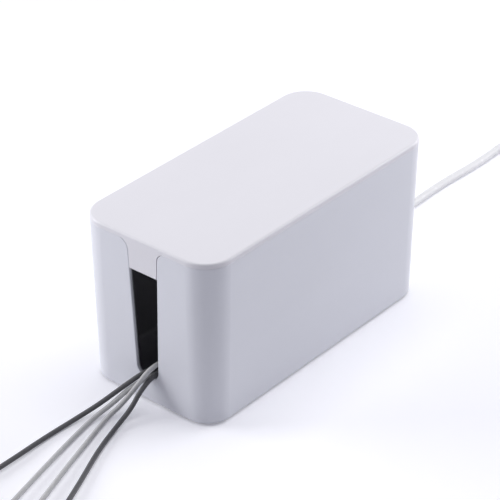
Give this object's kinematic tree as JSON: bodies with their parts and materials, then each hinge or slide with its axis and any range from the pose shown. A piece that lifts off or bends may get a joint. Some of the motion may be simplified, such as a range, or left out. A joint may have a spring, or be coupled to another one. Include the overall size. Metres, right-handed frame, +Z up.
{
  "type": "cable management box",
  "caption": "Rounded box with a lift-off lid and cable slots in both ends, hiding a socket strip, plugged-in chargers and their leads.",
  "frame": {"origin": "on the floor under the middle of the box", "axes": "+X along the box towards the supply cord's slot, +Y across it, +Z up through the lid"},
  "size_m": [0.7128, 0.1328, 0.127],
  "materials": {
    "shell_plastic": "satin white moulded plastic",
    "lid_plastic": "satin white moulded plastic",
    "foot_rubber": "dark soft rubber",
    "strip_base_plastic": "fine matt black texture",
    "strip_cover_plastic": "fine matt black texture",
    "screw_steel": "zinc plated",
    "contact_brass": "stamped and bright",
    "board": "green circuit board",
    "varistor_blue": "dipped blue coating",
    "switch_plastic": "fine matt black",
    "rocker_plastic": "translucent red",
    "lens": "amber lens",
    "button_plastic": "white",
    "gland_rubber": "soft white elastomer",
    "charger_plastic": "satin black plastic",
    "blade_metal": "nickel-washed brass",
    "dark_plug": "dark grey elastomer",
    "pale_plug": "white elastomer",
    "shell_metal": "drawn steel shell",
    "dark_lead": "matt dark grey sheath",
    "pale_lead": "matt white sheath",
    "supply_sheath": "matt white sheath",
    "tie_fabric": "woven black strap",
    "mains_plug_plastic": "moulded white plug"
  },
  "bodies": {
    "box": {"body_shell": "shell_plastic", "foot_1": "foot_rubber", "foot_2": "foot_rubber", "foot_3": "foot_rubber", "foot_4": "foot_rubber", "strip_base": "strip_base_plastic", "strip_cover": "strip_cover_plastic", "strip_pads": "foot_rubber", "strip_screws": "screw_steel", "line_bar": "contact_brass", "neutral_bar": "contact_brass", "earth_bar": "contact_brass", "surge_board": "board", "varistor_1": "varistor_blue", "varistor_2": "varistor_blue", "varistor_3": "varistor_blue", "switch_housing": "switch_plastic", "indicator_lens": "lens", "breaker_housing": "switch_plastic", "cord_gland": "gland_rubber", "charger_1": "charger_plastic", "charger_2": "charger_plastic", "charger_3": "charger_plastic", "charger_4": "charger_plastic", "charger_blades": "blade_metal", "lead_plug_1": "dark_plug", "lead_plug_2": "pale_plug", "lead_plug_3": "dark_plug", "lead_plug_4": "pale_plug", "plug_shells": "shell_metal", "lead_1": "dark_lead", "lead_2": "pale_lead", "lead_3": "dark_lead", "lead_4": "pale_lead", "lead_tip_1": "dark_plug", "lead_tip_2": "pale_plug", "lead_tip_3": "dark_plug", "lead_tip_4": "pale_plug", "tip_shells": "shell_metal", "supply_cord": "supply_sheath", "supply_coil": "supply_sheath", "supply_tail": "supply_sheath", "coil_tie": "tie_fabric", "mains_plug": "mains_plug_plastic", "mains_blades": "blade_metal"},
    "lid": {"lid": "lid_plastic"},
    "rocker": {"rocker": "rocker_plastic"},
    "reset_button": {"reset_button": "button_plastic"}
  },
  "joints": [
    {"name": "lid_lift", "type": "slide", "parent": "box", "child": "lid", "axis": [0, 0, 1], "range_m": [0, 0.15]},
    {"name": "rocker_tip", "type": "hinge", "parent": "box", "child": "rocker", "pos_m": [0.06, -0.0115, 0.0349], "axis": [0, 1, 0], "range_deg": [0, 18]},
    {"name": "reset_press", "type": "slide", "parent": "box", "child": "reset_button", "axis": [0, 0, -1], "range_m": [0, 0.002], "stiffness_N_per_m": 100, "springref_m": -0.0005}
  ]
}
